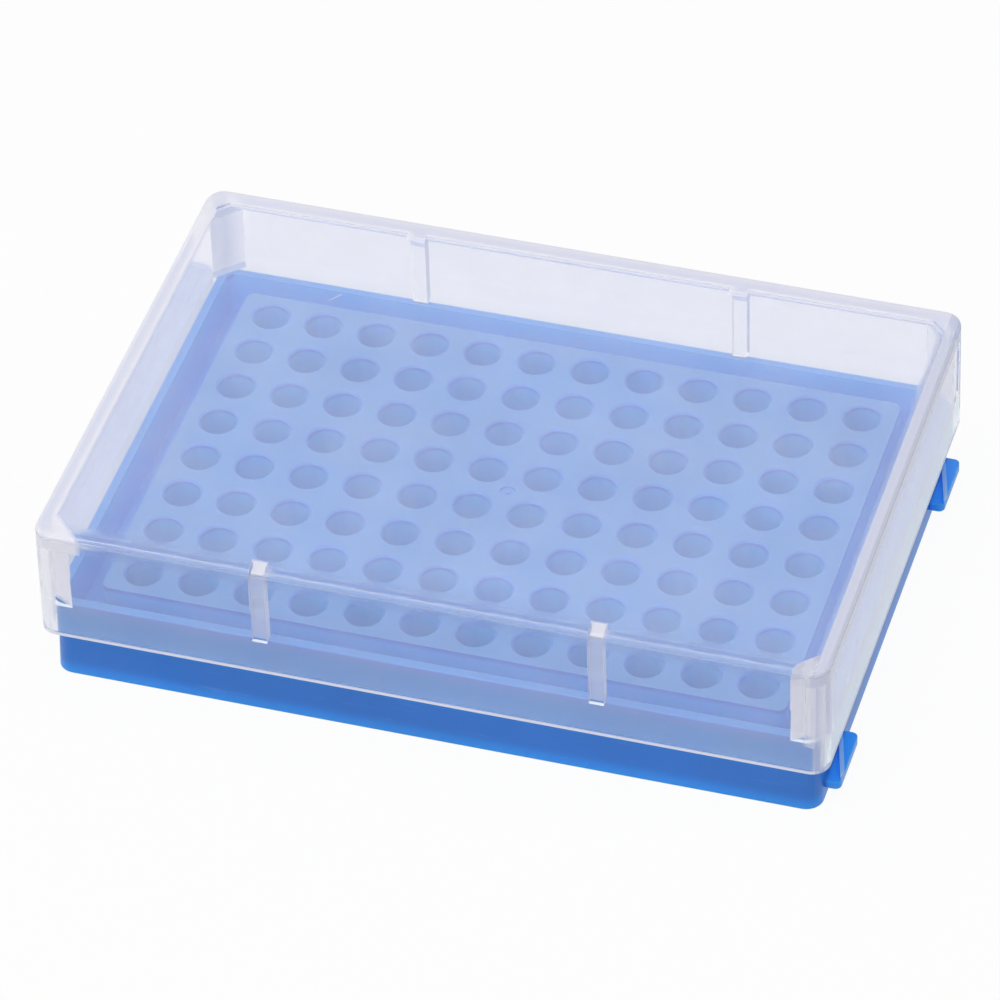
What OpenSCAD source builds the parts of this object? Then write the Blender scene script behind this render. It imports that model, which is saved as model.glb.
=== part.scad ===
// Microcentrifuge tube rack: a one-piece moulded rack base under a lift-off lid.
// Millimetres. Z = 0 is the table, X runs along the long side, Y along the short side,
// and the origin is the centre of the grid of wells.

/* [Grid of wells] */
// Wells along the long side
cols = 12; // [4:2:16]
// Wells along the short side
rows = 8; // [2:2:12]
// Spacing between the centres of neighbouring wells
pitch = 9; // [9:0.1:12]
// Bore of a well
well_d = 6; // [4:0.1:7]
// Flare at the mouth of a well
mouth = 0.3; // [0.1:0.1:0.6]
// Wall of the sleeve round a well
sleeve_t = 0.9; // [0.6:0.1:1.2]

/* [Rack base] */
// Height of the base, from the table to its rim
base_h = 14.9; // [12:0.1:24]
// How far the deck lies below the rim
deck_drop = 0.15; // [0.05:0.05:2]
// Deck plate
deck_t = 1.6; // [1:0.1:2.5]
// Deck beyond the last row of wells, along the long side
edge_x = 5.4; // [4.5:0.1:9]
// Deck beyond the last row of wells, along the short side
edge_y = 4.9; // [4.5:0.1:9]
// Walls under the edge of the deck
block_t = 1.4; // [1:0.1:2]
// Moat between the deck and the end rims
moat_x = 4.8; // [3:0.1:9]
// Moat between the deck and the side rims
moat_y = 3.7; // [3:0.1:9]
// Depth of the moat
moat_h = 8; // [4:0.1:9]
// Floor of the moat
floor_t = 1.3; // [1:0.1:2]
// Outer wall, which ends in the rim
rim_t = 1.5; // [1:0.1:2]
// How much wider the base is at its foot than at its rim, each side
flare = 0.5; // [0.1:0.05:0.6]
// Radius of the upright corners of the base
base_r = 2.8; // [2:0.1:6]
// Softened edges of the rim and the deck
soft = 0.3; // [0.1:0.1:0.5]
// Open height between the table and the ends of the sleeves
under_h = 5; // [3:0.1:6]

/* [Gate mark] */
// Ring at the centre of the deck
gate_d = 2.5; // [1.5:0.1:3]
// Depth of the ring
gate_h = 0.3; // [0.2:0.05:0.5]

/* [Linking tabs] */
// Distance of each tab from the long centre line
tab_y = 33.5; // [20:0.5:34]
// Length of a tab
tab_l = 11.5; // [6:0.5:14]
// How far a tab stands out from the foot of the base
tab_out = 2.4; // [1.5:0.1:4]
// Thickness of a tab
tab_t = 1.4; // [1:0.1:2]
// Gap under a tab
tab_z = 2.2; // [0.5:0.1:2.5]
// Rounding of the outer corners of a tab
tab_r = 1; // [0.5:0.1:1.4]
// Width of the slanting bead on a tab
bead_w = 0.7; // [0.4:0.1:1]
// How far the bead slants outwards over the length of a tab
bead_lean = 3.3; // [2:0.1:4]
// Height of the slanting bead on a tab
bead_h = 0.8; // [0.3:0.1:1]
// Play of a tab in the window of the next rack
window_gap = 0.4; // [0.2:0.1:0.6]

/* [Lid] */
// Head room, from the rim of the base to the top of the lid
head_h = 15.1; // [10:0.1:40]
// How far the lid reaches down over the base
overlap_h = 5.4; // [3:0.1:8]
// Top plate
lid_t = 1.2; // [1:0.1:2]
// End walls of the lid
end_t = 1.5; // [1:0.05:2.5]
// Side walls of the lid
side_t = 1.65; // [1:0.05:2.5]
// Play between the lid and the ends of the base
play_x = 0.5; // [0.4:0.05:1]
// Play between the lid and the sides of the base
play_y = 0.85; // [0.4:0.05:1.2]
// How much narrower the lid is at its top, each side
lid_taper = 0.15; // [0.05:0.05:0.5]
// Radius of the upright corners of the lid
lid_r = 3; // [2.5:0.1:6]
// Rounding of the top edge
lid_edge = 0.9; // [0.3:0.1:1.2]
// Rounding inside the top edge
lid_inner_edge = 1.2; // [0.3:0.1:2]

/* [Lid ribs and corner posts] */
// Distance of each rib from the short centre line
rib_x = 26.9; // [15:0.1:40]
// Width of a rib
rib_w = 2.4; // [1.5:0.1:4]
// How far a rib stands in from the wall
rib_in = 1.8; // [1.7:0.1:2.5]
// How far a corner post reaches along each wall
post_leg = 4.3; // [3.5:0.1:6]

/* [Hidden] */
eps = 0.01;
over = 1;

grid_x = (cols - 1) * pitch / 2;
grid_y = (rows - 1) * pitch / 2;
block_x = grid_x + edge_x;
block_y = grid_y + edge_y;
rim_x = block_x + moat_x + rim_t;
rim_y = block_y + moat_y + rim_t;
foot_x = rim_x + flare;
foot_y = rim_y + flare;
window_z = tab_z + tab_t + bead_h + window_gap;
deck_z = base_h - deck_drop;
moat_z = max(base_h - moat_h, window_z + floor_t + soft);
sleeve_d = min(well_d + 2 * sleeve_t, pitch - 2 * soft);
sleeve_h = deck_z - under_h;
hook_y = min(tab_y, rim_y - base_r - tab_l / 2);

lid_rim_z = base_h - overlap_h;
lid_top_z = base_h + head_h;
in_x = rim_x + play_x;
in_y = rim_y + play_y;
lid_x = in_x + end_t;
lid_y = in_y + side_t;
in_top_z = lid_top_z - lid_t;
at_rim = lid_taper * overlap_h / (in_top_z - lid_rim_z);
seat_x = in_x - at_rim;
seat_y = in_y - at_rim;

// A rounded slab, given by its half sizes.
module slab(hx, hy, r, z, h = eps) {
    for (sx = [-1, 1], sy = [-1, 1])
        translate([sx * (hx - r), sy * (hy - r), z])
            cylinder(r = r, h = h, $fn = 32);
}

// A rounded solid whose upper edge is softened by s.
module soft_box(hx0, hy0, hx1, hy1, r, z0, z1, s) {
    hull() {
        slab(hx0, hy0, r, z0);
        for (a = [0, 30, 60, 90])
            slab(hx1 - s * (1 - cos(a)), hy1 - s * (1 - cos(a)),
                 r - s * (1 - cos(a)), z1 - s * (1 - sin(a)) - eps);
    }
}

// An upright rounded solid.
module plain_box(hx, hy, r, z0, z1) {
    translate([-hx, r - hy, z0])
        cube([2 * hx, 2 * (hy - r), z1 - z0]);
    translate([r - hx, -hy, z0])
        cube([2 * (hx - r), 2 * hy, z1 - z0]);
    slab(hx, hy, r, z0, z1 - z0);
}

module at_wells() {
    for (i = [0 : cols - 1], j = [0 : rows - 1])
        translate([i * pitch - grid_x, j * pitch - grid_y, 0])
            children();
}

module well_cut() {
    translate([0, 0, under_h - over])
        cylinder(d = well_d, h = sleeve_h + 2 * over, $fn = 48);
    translate([0, 0, deck_z - mouth])
        cylinder(d1 = well_d, d2 = well_d + 2 * mouth + 2 * over, h = mouth + over, $fn = 48);
}

// Tab shape in plan, rooted inside the outer wall.
module tab_plan() {
    x0 = rim_x - rim_t / 2;
    x1 = foot_x + tab_out;
    translate([x0, -tab_l / 2])
        square([x1 - tab_r - x0, tab_l]);
    translate([x0, tab_r - tab_l / 2])
        square([x1 - x0, tab_l - 2 * tab_r]);
    for (s = [-1, 1])
        translate([x1 - tab_r, s * (tab_l / 2 - tab_r)])
            circle(r = tab_r, $fn = 48);
}

module tab() {
    x0 = rim_x - rim_t / 2;
    x1 = foot_x + tab_out;
    translate([0, 0, tab_z])
        linear_extrude(tab_t)
            tab_plan();
    translate([0, 0, tab_z + tab_t - eps])
        linear_extrude(bead_h + eps)
            intersection() {
                tab_plan();
                polygon([
                    [x1 - bead_lean, tab_l / 2],
                    [x1 - bead_lean + bead_w, tab_l / 2],
                    [x1 + bead_w, -tab_l / 2],
                    [x1, -tab_l / 2],
                ]);
            }
}

module rack_base() {
    color("RoyalBlue")
    difference() {
        union() {
            difference() {
                soft_box(foot_x, foot_y, rim_x, rim_y, base_r, 0, base_h, soft);
                // moat
                difference() {
                    plain_box(rim_x - rim_t, rim_y - rim_t, base_r - rim_t, moat_z, base_h + over);
                    plain_box(block_x, block_y, base_r - rim_t, moat_z - over, deck_z);
                }
                // hollow foot
                plain_box(rim_x - rim_t, rim_y - rim_t, base_r - rim_t, -over, moat_z - floor_t);
                // hollow under the deck
                plain_box(block_x - block_t, block_y - block_t, 1, -over, deck_z - deck_t);
            }
            at_wells()
                translate([0, 0, under_h])
                    cylinder(d = sleeve_d, h = sleeve_h - deck_t / 2, $fn = 48);
            for (s = [-1, 1])
                translate([0, s * hook_y, 0])
                    tab();
        }
        at_wells()
            well_cut();
        // gate mark, with its nub left standing
        translate([0, 0, deck_z - gate_h])
            difference() {
                cylinder(d = gate_d, h = gate_h + over, $fn = 48);
                cylinder(d = gate_d / 3, h = gate_h, $fn = 48);
            }
        // windows for the tabs of the next rack
        for (s = [-1, 1])
            translate([-foot_x - over, s * hook_y - tab_l / 2 - window_gap, tab_z - window_gap])
                cube([over + flare + rim_t + over / 2,
                      tab_l + 2 * window_gap,
                      window_z + window_gap - tab_z]);
    }
}

// Corner post in plan, at the +X +Y corner.
module post_plan() {
    w = end_t / 2;
    polygon([
        [in_x + w - lid_r, in_y + w],
        [seat_x - post_leg, in_y + w],
        [seat_x - post_leg, seat_y],
        [seat_x, seat_y - post_leg],
        [in_x + w, seat_y - post_leg],
        [in_x + w, in_y + w - lid_r],
    ]);
}

module lid() {
    rib_h = in_top_z + lid_t / 2 - base_h;
    color("AliceBlue", 0.6) {
        difference() {
            soft_box(lid_x, lid_y, lid_x - lid_taper, lid_y - lid_taper,
                     lid_r, lid_rim_z, lid_top_z, lid_edge);
            soft_box(in_x, in_y, in_x - lid_taper, in_y - lid_taper,
                     lid_r - end_t, lid_rim_z - over, in_top_z, lid_inner_edge);
        }
        for (sx = [-1, 1], sy = [-1, 1]) {
            scale([sx, sy, 1])
                translate([rib_x - rib_w / 2, seat_y - rib_in, base_h])
                    cube([rib_w, rib_in + side_t / 2, rib_h]);
            scale([sx, sy, 1])
                translate([0, 0, base_h])
                    linear_extrude(rib_h)
                        post_plan();
        }
    }
}

rack_base();
lid();
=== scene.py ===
"""A microcentrifuge tube rack: a blue moulded base under a frosted lift-off lid, both polypropylene."""

import math

import bmesh
import bpy
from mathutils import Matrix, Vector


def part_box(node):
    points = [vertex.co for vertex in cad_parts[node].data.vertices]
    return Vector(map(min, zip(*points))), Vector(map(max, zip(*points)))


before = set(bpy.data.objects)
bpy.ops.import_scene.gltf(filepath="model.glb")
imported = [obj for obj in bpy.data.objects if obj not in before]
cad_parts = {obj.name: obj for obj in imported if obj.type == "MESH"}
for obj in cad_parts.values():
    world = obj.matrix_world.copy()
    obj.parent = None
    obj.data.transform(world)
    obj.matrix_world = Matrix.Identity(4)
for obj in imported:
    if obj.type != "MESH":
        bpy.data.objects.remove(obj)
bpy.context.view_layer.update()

# ---------------------------------------------------------------- rack base
# One moulding in dyed polypropylene, straight from the press: rim, moat, deck and sleeves.
# The tool was vapour blasted, so the skin is satin with a grain too fine to feel.

# All sizes are in metres. Right is +X and back is +Y.
OUTER_WALL = 0.0015
FLARE = 0.0005  # how much wider the base is at its foot than at its rim, each side
MOAT_X = 0.0048  # width of the moat at the ends, and at the sides
MOAT_Y = 0.0037
MOAT_DEPTH = 0.0080
DECK_DROP = 0.00015  # from the rim down to the deck
FOOT_BAND = 0.0030  # how far up from its edge the foot looks clearer
TAB_BAND = 0.0006  # how far out along a tab the clearer look comes in
WELL_BAND = 0.0015  # how far down a well it does
BEAD_HIGHLIGHT_HEIGHT = 0.0043  # height from which a bead is rubbed
SKIN = 0.00005  # how near to a face still counts as the face
DECK_SKIN = 0.00002  # less on the deck, to leave out the flared mouths of the wells
RIM_START = 0.00003  # how far above the deck the rim's colour starts
GLOW_REACH = 0.0014  # how far light creeps under the skin
GRAIN_PITCH = 0.0006  # a blasted tool gives less than 0.1 mm, drawn coarser to show at all
# height from which a painted highlight lies on the crest of a bead
GRAIN_HEIGHT = 0.0002
PATCH_PITCH = 0.017  # slow drift of the dye
RUB_PITCH = 0.007  # length of a rub mark
SCRATCH_PLACE = (-0.0413, 0.04015, 0.0136)  # one clear scratch, inside the back rim
SCRATCH_SLOPE = 0.68
SCRATCH_SIZE = (0.0033, 0.0005, 0.0002)  # length, depth and width
SCRATCH_FADE = (0.6, 0.4)  # it starts, and is full, at these shares of that size
SCRATCH_SHARE = 0.8
BASE_BLUE = "#2A80D4"
BASE_SKIRT = "#2A7AD4"  # the outer wall, the thickest of the moulding
BASE_DECK = "#3C86CB"  # the deck, rubbed dull by tubes
BASE_MOAT_GLOW = "#0890DE"  # the floor of the moat, with painted light: a brighter blue for the light that reaches it through the thin walls
BASE_RIM = "#2D8BDA"  # the rim lets light through from both sides
BASE_THIN = "#2E9AF4"  # the foot and tabs are thin and stand in light, so they look clearer
BASE_DEEP = "#22B8FF"  # thin walls of the wells and moat, where light creeps in from all sides
BASE_SCUFF_AND_HIGHLIGHT = "#8FB4E8"  # rub marks, and a painted highlight on the rounded crest of each bead
BASE_LAMP_SHARE = "#50CBEC"  # what one skin of this plastic lets through to its wells and moat
GLOW_COLOUR = (0.3, 0.7, 1.0)  # red light dies first in the blue plastic, and blue light last
PLASTIC_IOR = 1.49


def srgb(code):
    """Turns an sRGB hex colour to the linear one that a node takes."""
    parts = [int(code[i : i + 2], 16) / 255 for i in (1, 3, 5)]
    return [c / 12.92 if c <= 0.04045 else ((c + 0.055) / 1.055) ** 2.4 for c in parts] + [1.0]


def add(tree, kind, **words):
    """Adds a node. A capital or i0, i1, i2 names an input, which takes a value, or a socket or a
    node to link. Any other word is one of the node's own settings."""
    node = tree.nodes.new("ShaderNode" + kind)
    for word, value in words.items():
        by_number = word[0] == "i" and word[1:].isdigit()
        if not by_number and not word[0].isupper():
            setattr(node, word, value)
            continue
        socket = node.inputs[int(word[1:]) if by_number else word.replace("_", " ")]
        if isinstance(value, bpy.types.Node):
            value = value.outputs[0]
        if isinstance(value, bpy.types.NodeSocket):
            tree.links.new(value, socket)
        else:
            socket.default_value = value
    return node


def within(tree, x, y, half_x, half_y):
    """Marks the inside of a rectangle about the centre, given by its half sizes."""
    in_x = add(tree, "Math", operation="COMPARE", i0=x, i1=0.0, i2=half_x)
    in_y = add(tree, "Math", operation="COMPARE", i0=y, i1=0.0, i2=half_y)
    return add(tree, "Math", operation="MULTIPLY", i0=in_x, i1=in_y)


def clouds(tree, place, pitch, low, high):
    """Slow clouds that run from low to high. Nearly all of the noise lies between 0.3 and 0.7."""
    noise = add(tree, "TexNoise", Vector=place, Scale=1 / pitch, Detail=2.0)
    return add(tree, "MapRange", Value=noise, From_Min=0.3, From_Max=0.7, To_Min=low, To_Max=high)


def rub_marks(tree, place, pitch, stretch, turn, start, full, share):
    """Short marks that lie one way: the peaks of a drawn-out noise, from start up to full."""
    lay = add(tree, "Mapping", Vector=place, Scale=(1.0, stretch, stretch), Rotation=(0, 0, turn))
    noise = add(tree, "TexNoise", Vector=lay, Scale=1 / pitch, Detail=1.0)
    return add(tree, "MapRange", Value=noise, From_Min=start, From_Max=full, To_Max=share)


def new_material(name):
    """Starts an empty material, and hands back its node tree too."""
    material = bpy.data.materials.new(name)
    material.use_nodes = True
    material.node_tree.nodes.clear()
    return material, material.node_tree


def dress(node_name, material):
    """Gives a carried-over solid its finish."""
    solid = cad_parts[node_name]
    for slot in solid.material_slots:
        slot.material = material


base_low, base_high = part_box("rack_base")
foot_x = -base_low[0]  # half sizes of the foot, without the tabs on the right end
foot_y = -base_low[1]
inner_x = foot_x - FLARE - OUTER_WALL  # half sizes inside the rim
inner_y = foot_y - FLARE - OUTER_WALL
rim_z = base_high[2]
deck_z = rim_z - DECK_DROP

blue_pp, tree = new_material("moulded_polypropylene_blue")
place = add(tree, "TexCoord").outputs["Object"]
axes = add(tree, "SeparateXYZ", Vector=place)
x, y, z = axes.outputs["X"], axes.outputs["Y"], axes.outputs["Z"]
# The foot and the tabs.
foot = add(tree, "MapRange", interpolation_type="SMOOTHSTEP", Value=z,
           From_Min=FOOT_BAND, From_Max=0.0)
tab = add(tree, "MapRange", interpolation_type="SMOOTHSTEP", Value=x,
          From_Min=foot_x, From_Max=foot_x + TAB_BAND)
thin = add(tree, "Math", operation="MAXIMUM", i0=foot, i1=tab)
# Inside the rim: the face of the outer wall, and the walls of the wells and the moat.
in_rim = within(tree, x, y, inner_x + SKIN, inner_y + SKIN)
off_wall = within(tree, x, y, inner_x - SKIN, inner_y - SKIN)
wall = add(tree, "Math", operation="SUBTRACT", i0=1.0, i1=off_wall)
deep = add(tree, "MapRange", interpolation_type="SMOOTHSTEP", Value=z,
           From_Min=deck_z, From_Max=deck_z - WELL_BAND)
deep = add(tree, "Math", operation="MAXIMUM", i0=deep, i1=wall)
deep = add(tree, "Math", operation="MULTIPLY", i0=deep, i1=in_rim)
# The moat's floor, the deck, the rim and the crests of the beads, where a painted highlight lies.
on_deck = within(tree, x, y, inner_x - MOAT_X, inner_y - MOAT_Y)
off_deck = add(tree, "Math", operation="SUBTRACT", i0=1.0, i1=on_deck)
# The moat's floor gets painted light, a brighter blue for light that reaches it through the thin walls.
moat = add(tree, "Math", operation="COMPARE", i0=z, i1=rim_z - MOAT_DEPTH, i2=SKIN)
moat = add(tree, "Math", operation="MULTIPLY", i0=moat, i1=off_deck)
deck = add(tree, "Math", operation="COMPARE", i0=z, i1=deck_z, i2=DECK_SKIN)
deck = add(tree, "Math", operation="MULTIPLY", i0=deck, i1=off_wall)
rim = add(tree, "Math", operation="GREATER_THAN", i0=z, i1=deck_z + RIM_START)
crest_highlight = add(tree, "Math", operation="GREATER_THAN", i0=z, i1=BEAD_HIGHLIGHT_HEIGHT)
crest_highlight = add(tree, "Math", operation="MULTIPLY", i0=crest_highlight, i1=tab)

colour = srgb(BASE_SKIRT)
for share, tint in ((in_rim, BASE_BLUE), (thin, BASE_THIN), (deep, BASE_DEEP), (moat, BASE_MOAT_GLOW),
                    (deck, BASE_DECK), (rim, BASE_RIM), (crest_highlight, BASE_SCUFF_AND_HIGHLIGHT)):
    colour = add(tree, "MixRGB", Fac=share, Color1=colour, Color2=srgb(tint))
# The dye drifts a little, and handling has left short pale rubs and one scratch.
drift = clouds(tree, place, pitch=PATCH_PITCH, low=0.95, high=1.05)
colour = add(tree, "HueSaturation", Value=drift, Color=colour)
rub = rub_marks(tree, place, pitch=RUB_PITCH, stretch=12.0, turn=0.3,
                start=0.68, full=0.80, share=0.16)
colour = add(tree, "MixRGB", Fac=rub, Color1=colour, Color2=srgb(BASE_SCUFF_AND_HIGHLIGHT))
lay = add(tree, "Mapping", vector_type="TEXTURE", Vector=place, Location=SCRATCH_PLACE,
          Rotation=(0, -SCRATCH_SLOPE, 0), Scale=SCRATCH_SIZE)
away = add(tree, "VectorMath", operation="LENGTH", i0=lay).outputs["Value"]
scratch = add(tree, "MapRange", Value=away,
              From_Min=SCRATCH_FADE[0], From_Max=SCRATCH_FADE[1], To_Max=SCRATCH_SHARE)
colour = add(tree, "MixRGB", Fac=scratch, Color1=colour, Color2=(1, 1, 1, 1))
grain = add(tree, "TexNoise", Vector=place, Scale=1 / GRAIN_PITCH, Detail=2.0)
relief = add(tree, "Bump", Height=grain, Strength=0.08, Distance=GRAIN_HEIGHT)
skin = add(tree, "BsdfPrincipled", Base_Color=colour, Roughness=0.38, IOR=PLASTIC_IOR,
           Subsurface_Weight=0.7, Subsurface_Radius=GLOW_COLOUR, Subsurface_Scale=GLOW_REACH,
           Normal=relief)
# Lamps reach the wells and the moat through the walls, tinted by them.
lamp_way = add(tree, "BsdfTransparent", Color=srgb(BASE_LAMP_SHARE))
path = add(tree, "LightPath")
whole = add(tree, "MixShader", i0=path.outputs["Is Shadow Ray"], i1=skin, i2=lamp_way)
add(tree, "OutputMaterial", Surface=whole)
dress("rack_base", blue_pp)

# ---------------------------------------------------------------- lid
# One moulding in unpigmented polypropylene, which is milky because its crystals scatter light.
# A wall shows what is behind it through a white veil, and thick places are whiter. The lid only
# rests on the rim of the base, by its ribs and corner posts.

SIDE_WALL = 0.00165
END_WALL = 0.0015
RIB_PLACE = 0.0269  # from the short centre line
RIB_WIDTH = 0.0024
RIB_DEPTH = 0.0018
RIB_TOP_DEPTH = 0.0047  # how far in from the back the milky top edge takes in a rib
POST_FACE = 0.09977  # |x| + |y| on the slanting face of a post
LEDGE_HEIGHT = 0.0012  # lowest part of that face
CORNER_TURN = (0.1031, 0.1046)  # |x| + |y| over which an upright corner turns milky
LATE_TURN = (0.1047, 0.1053)  # the same beside the base, at the right
CORNER_BAND = 0.001  # |x| + |y| over which the milky corners of the top fade, inside the posts
TOP_BAND = (0.00308, 0.00266)  # the edge round the top starts, and is full, so far from the top
TOP_BAND_X = (0.00336, 0.00294)  # from the ends
TOP_BAND_Y = (0.0035, 0.00308)  # from the sides
BACK_BAND = (0.00392, 0.00336)  # the milky part of it, from the back
LEFT_BAND = 0.0028  # and from the left
RIGHT_BAND = (0.00224, 0.00196)  # its milky part at the right
HIGHLIGHT_DEPTH = 0.0009  # where the rounded top edge turns over, along which a painted highlight runs
HIGHLIGHT_HALF = 0.00015
LOW_BAND = 0.0006  # the lower edge of the walls
RIM_BLEND = 0.0002  # half the height over which the tint beside the base comes in
FACE_SKIN = 0.00006  # how near to a face still counts as the face
OFF_WALL = 0.0001  # the inside begins so far from the walls
UNDER_TOP = 0.0008  # and so far below the outer face of the top
SLACK = 0.0003  # added to a size so that the whole face is in it
CLOUD_PITCH = 0.011  # slow clouds from the melt
STREAK_PITCH = 0.006  # length of a rubbed streak
MILK_ROUGH = 0.30
CLEAR_ROUGH = 0.03  # the clear share of a plain wall, nearly as smooth as the tool
TURN_ROUGH = 0.22  # the same where the edges and corners turn
LID_MILK = "#EFEFF9"
LID_THICK_SHADE = "#D2D6EA"  # thick places keep more of the light, and the greyer milk round the top edge and on the right wall is also painted shade
LID_TINT = "#CBF0FF"  # beside the base, whose blue light the milk scatters
LID_CLEAR = "#FCFCFF"
LID_LAMP_SHARE = "#F4F3EB"
LID_HAZE = 0.13  # share of white in one skin of a plain wall
END_WALL_HAZE = 0.24  # on the right wall
EDGE_HAZE = 0.18  # round the top
CORNER_HAZE = 0.50  # round the upright corners
RIB_HAZE = 0.50  # on the inner face of a rib
BACK_RIB_HAZE = 0.16
CUT_HAZE = 0.80  # on the sides of the ribs, the feet of ribs and posts, and the lower edge
POST_HAZE = 0.78
BACK_POST_HAZE = 0.42
LEDGE_HAZE = 0.92
RIGHT_EDGE_HAZE = 0.88
FAR_EDGE_LIGHT_HAZE = 0.80
# The painted highlight along the turn of the top edge, drawn as a stripe of white.
HIGHLIGHT_HAZE = 0.45

lid_low, lid_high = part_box("lid")
frosted_pp, tree = new_material("frosted_polypropylene")
place = add(tree, "TexCoord").outputs["Object"]
axes = add(tree, "SeparateXYZ", Vector=place)
x, y, z = axes.outputs["X"], axes.outputs["Y"], axes.outputs["Z"]
across = add(tree, "Math", operation="ABSOLUTE", i0=x)
along = add(tree, "Math", operation="ABSOLUTE", i0=y)
corner = add(tree, "Math", operation="ADD", i0=across, i1=along)
right = add(tree, "Math", operation="GREATER_THAN", i0=x, i1=0.0)
back = add(tree, "Math", operation="GREATER_THAN", i0=y, i1=0.0)
# Inside the walls and under the top plate.
inside = within(tree, x, y, lid_high[0] - END_WALL - OFF_WALL, lid_high[1] - SIDE_WALL - OFF_WALL)
under = add(tree, "Math", operation="LESS_THAN", i0=z, i1=lid_high[2] - UNDER_TOP)
inside = add(tree, "Math", operation="MULTIPLY", i0=inside, i1=under)
# The inner face of each rib, then its two sides.
by_side = add(tree, "Math", operation="GREATER_THAN", i0=along,
              i1=lid_high[1] - SIDE_WALL - RIB_DEPTH - SLACK)
at_rib = add(tree, "Math", operation="MULTIPLY", i0=inside, i1=by_side)
off = add(tree, "Math", operation="SUBTRACT", i0=across, i1=RIB_PLACE)
off = add(tree, "Math", operation="ABSOLUTE", i0=off)
rib = add(tree, "Math", operation="LESS_THAN", i0=off, i1=RIB_WIDTH / 2)
rib = add(tree, "Math", operation="MULTIPLY", i0=rib, i1=at_rib)
back_rib = add(tree, "Math", operation="MULTIPLY", i0=rib, i1=back)
side = add(tree, "Math", operation="COMPARE", i0=off, i1=RIB_WIDTH / 2, i2=FACE_SKIN)
side = add(tree, "Math", operation="MULTIPLY", i0=side, i1=at_rib)
# The feet of the ribs and posts, which stand on the rim, and the lower edge of the walls.
foot = add(tree, "Math", operation="COMPARE", i0=z, i1=rim_z, i2=FACE_SKIN)
foot = add(tree, "Math", operation="MULTIPLY", i0=foot, i1=inside)
off_skirt = within(tree, x, y, lid_high[0] - LOW_BAND, lid_high[1] - LOW_BAND)
low = add(tree, "Math", operation="LESS_THAN", i0=z, i1=lid_low[2] + LOW_BAND)
low = add(tree, "Math", operation="SUBTRACT", use_clamp=True, i0=low, i1=off_skirt)
cut = add(tree, "Math", operation="MAXIMUM", i0=side, i1=foot)
cut = add(tree, "Math", operation="MAXIMUM", i0=cut, i1=low)
# The slanting faces of the posts.
post = add(tree, "Math", operation="COMPARE", i0=corner, i1=POST_FACE, i2=FACE_SKIN * 3)
post = add(tree, "Math", operation="MULTIPLY", i0=post, i1=inside)
back_post = add(tree, "Math", operation="MULTIPLY", i0=post, i1=back)
ledge = add(tree, "Math", operation="LESS_THAN", i0=z, i1=rim_z + LEDGE_HEIGHT)
ledge = add(tree, "Math", operation="MULTIPLY", i0=ledge, i1=post)
# The upright corners outside, whose milk starts later at the right, beside the base.
below = add(tree, "MapRange", Value=z, From_Min=rim_z + RIM_BLEND, From_Max=rim_z - RIM_BLEND)
late = add(tree, "Math", operation="MULTIPLY", i0=below, i1=right)
turn_from = add(tree, "MapRange", Value=late, To_Min=CORNER_TURN[0], To_Max=LATE_TURN[0])
turn_to = add(tree, "MapRange", Value=late, To_Min=CORNER_TURN[1], To_Max=LATE_TURN[1])
turn = add(tree, "MapRange", interpolation_type="SMOOTHSTEP", Value=corner,
           From_Min=turn_from, From_Max=turn_to)
# The rounded edge round the top, and the painted highlight line where it turns over.
top = add(tree, "MapRange", interpolation_type="SMOOTHSTEP", Value=z,
          From_Min=lid_high[2] - TOP_BAND[0], From_Max=lid_high[2] - TOP_BAND[1])
top_x = add(tree, "MapRange", interpolation_type="SMOOTHSTEP", Value=across,
            From_Min=lid_high[0] - TOP_BAND_X[0], From_Max=lid_high[0] - TOP_BAND_X[1])
top_y = add(tree, "MapRange", interpolation_type="SMOOTHSTEP", Value=along,
            From_Min=lid_high[1] - TOP_BAND_Y[0], From_Max=lid_high[1] - TOP_BAND_Y[1])
edge = add(tree, "Math", operation="MAXIMUM", i0=top_x, i1=top_y)
edge = add(tree, "Math", operation="MULTIPLY", i0=edge, i1=top)
highlight_line = add(tree, "Math", operation="COMPARE", i0=z, i1=lid_high[2] - HIGHLIGHT_DEPTH, i2=HIGHLIGHT_HALF)
# Painted light: the top is milkiest along its back and left edges, with the ends of the back ribs, and
# in every corner but the one at the front right, as the far rounded edges look white from the front.
back_edge = add(tree, "MapRange", Value=y,
                From_Min=lid_high[1] - BACK_BAND[0], From_Max=lid_high[1] - BACK_BAND[1])
left_edge = add(tree, "Math", operation="LESS_THAN", i0=x, i1=LEFT_BAND - lid_high[0])
front_right = add(tree, "Math", operation="SUBTRACT", use_clamp=True, i0=right, i1=back)
corners = add(tree, "MapRange", Value=corner, From_Min=POST_FACE - CORNER_BAND, From_Max=POST_FACE)
corners = add(tree, "Math", operation="SUBTRACT", use_clamp=True, i0=corners, i1=front_right)
rib_end = add(tree, "Math", operation="LESS_THAN", i0=off, i1=RIB_WIDTH / 2 + SLACK)
by_back = add(tree, "Math", operation="GREATER_THAN", i0=y, i1=lid_high[1] - RIB_TOP_DEPTH)
rib_top = add(tree, "Math", operation="MULTIPLY", i0=by_back, i1=rib_end)
far_edge_light = back_edge
for share in (left_edge, corners, rib_top):
    far_edge_light = add(tree, "Math", operation="MAXIMUM", i0=far_edge_light, i1=share)
up_high = add(tree, "Math", operation="GREATER_THAN", i0=z, i1=lid_high[2] - TOP_BAND[0])
far_edge_light = add(tree, "Math", operation="MULTIPLY", i0=far_edge_light, i1=up_high)
# The right wall, and the edge above it.
right_wall = add(tree, "Math", operation="GREATER_THAN", i0=x, i1=lid_high[0] - END_WALL - SLACK)
right_edge = add(tree, "MapRange", Value=x,
                 From_Min=lid_high[0] - RIGHT_BAND[0], From_Max=lid_high[0] - RIGHT_BAND[1])
right_edge = add(tree, "Math", operation="MULTIPLY", i0=right_edge, i1=edge)

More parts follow.
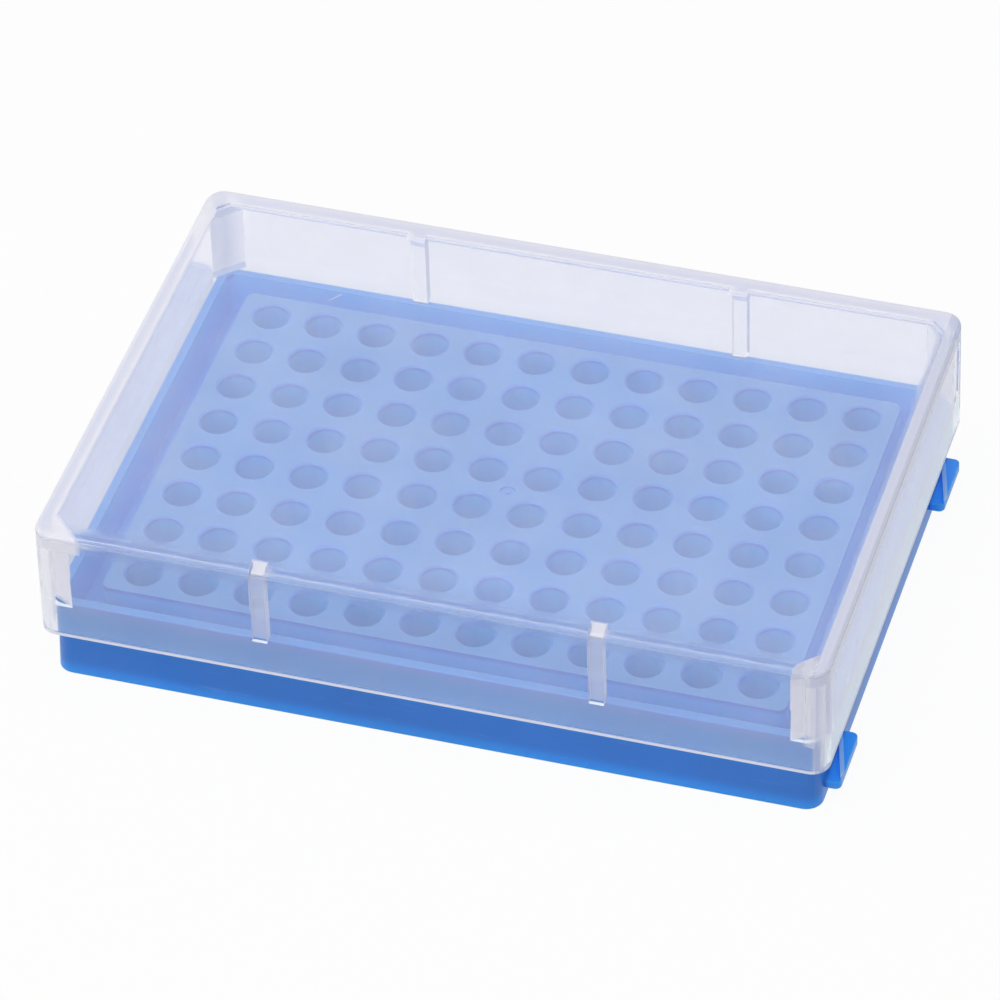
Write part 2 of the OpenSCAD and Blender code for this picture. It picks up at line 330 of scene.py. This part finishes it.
haze = LID_HAZE
for share, amount in ((rib, RIB_HAZE), (right_wall, END_WALL_HAZE), (edge, EDGE_HAZE),
                      (turn, CORNER_HAZE), (cut, CUT_HAZE), (post, POST_HAZE),
                      (back_post, BACK_POST_HAZE), (back_rib, BACK_RIB_HAZE), (ledge, LEDGE_HAZE),
                      (right_edge, RIGHT_EDGE_HAZE), (far_edge_light, FAR_EDGE_LIGHT_HAZE), (highlight_line, HIGHLIGHT_HAZE)):
    haze = add(tree, "MapRange", Value=share, To_Min=haze, To_Max=amount)
# Slow clouds from the melt, and short rubbed streaks from years of stacking.
cloud = clouds(tree, place, pitch=CLOUD_PITCH, low=-0.02, high=0.02)
streak = rub_marks(tree, place, pitch=STREAK_PITCH, stretch=9.0, turn=0.35,
                   start=0.66, full=0.78, share=0.05)
worn = add(tree, "Math", operation="ADD", i0=cloud, i1=streak)
haze = add(tree, "Math", operation="ADD", i0=haze, i1=worn)

# Painted shade: the milk is greyer round the top edge and on the right wall, where thick plastic also
# keeps more of the light.
thick_and_shade = add(tree, "Math", operation="SUBTRACT", i0=edge, i1=far_edge_light)
for share in (right_wall, right_edge):
    thick_and_shade = add(tree, "Math", operation="MAXIMUM", i0=thick_and_shade, i1=share)
white = add(tree, "MixRGB", Fac=thick_and_shade, Color1=srgb(LID_MILK), Color2=srgb(LID_THICK_SHADE))
bare = add(tree, "Math", operation="MAXIMUM", i0=low, i1=turn)
tinted = add(tree, "Math", operation="SUBTRACT", use_clamp=True, i0=below, i1=bare)
white = add(tree, "MixRGB", Fac=tinted, Color1=white, Color2=srgb(LID_TINT))
milk = add(tree, "BsdfPrincipled", Base_Color=white, Roughness=MILK_ROUGH, IOR=PLASTIC_IOR)
frost = add(tree, "Math", operation="MAXIMUM", i0=edge, i1=turn)
frost = add(tree, "MapRange", Value=frost, To_Min=CLEAR_ROUGH, To_Max=TURN_ROUGH)
clear = add(tree, "BsdfPrincipled", Base_Color=srgb(LID_CLEAR), Roughness=frost, IOR=PLASTIC_IOR,
            Transmission_Weight=1.0)
body = add(tree, "MixShader", i0=haze, i1=clear, i2=milk)
# A ray that is mirrored inside a wall passes out of it, so that no light is caught there, and
# lamps shine through the milky walls.
path = add(tree, "LightPath")
way_out = add(tree, "BsdfTransparent", Color=srgb(LID_CLEAR))
lamp_way = add(tree, "BsdfTransparent", Color=srgb(LID_LAMP_SHARE))
freed = add(tree, "MixShader", i0=path.outputs["Is Reflection Ray"], i1=body, i2=way_out)
kept = add(tree, "MixShader", i0=path.outputs["Is Diffuse Ray"], i1=freed, i2=body)
whole = add(tree, "MixShader", i0=path.outputs["Is Shadow Ray"], i1=kept, i2=lamp_way)
add(tree, "OutputMaterial", Surface=whole)
dress("lid", frosted_pp)

# ---------------------------------------------------------------- floor
# A sweep of matt white card, laid flat and far wider than the rack that stands on it. It is
# bright to the eye, and holds a faint shadow round the foot.

FLOOR_WHITE = "#E6E6E8"
FLOOR_HALF = 3.0
FLOOR_SHADOW_SHARE = 0.06
FOOT_EDGE = 0.0012  # the floor inside the foot begins so far in from its outer face


def seen_share(tree):
    """Marks what the camera sees, straight or by way of a gloss or through clear plastic."""
    path = add(tree, "LightPath")
    seen = path.outputs["Is Camera Ray"]
    for way in ("Is Glossy Ray", "Is Transmission Ray"):
        seen = add(tree, "Math", operation="MAXIMUM", i0=seen, i1=path.outputs[way])
    return seen


shape = bmesh.new()
bmesh.ops.create_grid(shape, x_segments=1, y_segments=1, size=FLOOR_HALF)
floor_mesh = bpy.data.meshes.new("floor")
shape.to_mesh(floor_mesh)
shape.free()
floor = bpy.data.objects.new("floor", floor_mesh)
bpy.context.scene.collection.objects.link(floor)
sweep, tree = new_material("matt_white_sweep")
card = add(tree, "BsdfDiffuse", Color=srgb(FLOOR_WHITE))
bright = add(tree, "Emission", Color=(1, 1, 1, 1), Strength=1.0)
# Under the rack the card is only as bright as the light that reaches it, so the wells and
# windows show it dark.
ground = add(tree, "SeparateXYZ", Vector=add(tree, "TexCoord").outputs["Object"])
hidden = within(tree, ground.outputs["X"], ground.outputs["Y"],
                foot_x - FOOT_EDGE, foot_y - FOOT_EDGE)
shade = add(tree, "MapRange", Value=hidden, To_Min=FLOOR_SHADOW_SHARE, To_Max=1.0)
lit = add(tree, "MixShader", i0=shade, i1=bright, i2=card)
cover = add(tree, "MixShader", i0=seen_share(tree), i1=card, i2=lit)
add(tree, "OutputMaterial", Surface=cover)
floor_mesh.materials.append(sweep)

# ---------------------------------------------------------------- light
# A tent of white cloth gives even light all round, and one broad soft box hangs high in
# front of the rack, a little to the left.

TENT_LIGHT = 0.53
BOX_POWER = 9.0
BOX_SIZE = 1.2
BOX_PLACE = (-0.12, -0.42, 1.2)
BOX_TURN = (19.3, -5.7, 0.0)

world = bpy.data.worlds.new("tent")
bpy.context.scene.world = world
world.use_nodes = True
tree = world.node_tree
tree.nodes.clear()
white_cloth = add(tree, "Background", Color=(1, 1, 1, 1), Strength=1.0)
tent = add(tree, "Background", Color=(1, 1, 1, 1), Strength=TENT_LIGHT)
sky = add(tree, "MixShader", i0=seen_share(tree), i1=tent, i2=white_cloth)
add(tree, "OutputWorld", Surface=sky)

lamp = bpy.data.lights.new("soft_box", "AREA")
lamp.energy = BOX_POWER
lamp.size = BOX_SIZE
soft_box = bpy.data.objects.new("soft_box", lamp)
soft_box.location = BOX_PLACE
soft_box.rotation_euler = [math.radians(a) for a in BOX_TURN]
bpy.context.scene.collection.objects.link(soft_box)

# ---------------------------------------------------------------- camera
# A long lens, which draws the back of the rack nearly as wide as the front. It stands in
# front, a little to the right, and looks down from well above.

CAMERA_PLACE = (0.23702, -0.73497, 0.69133)
CAMERA_TURN = (48.7108, 1.5009, 16.6460)
LENS = 234.70
SENSOR = 36.0

camera = bpy.data.cameras.new("camera")
camera.lens = LENS
camera.sensor_width = SENSOR
viewer = bpy.data.objects.new("camera", camera)
viewer.location = CAMERA_PLACE
viewer.rotation_euler = [math.radians(a) for a in CAMERA_TURN]
bpy.context.scene.collection.objects.link(viewer)
bpy.context.scene.camera = viewer
bpy.context.scene.view_settings.view_transform = "Standard"
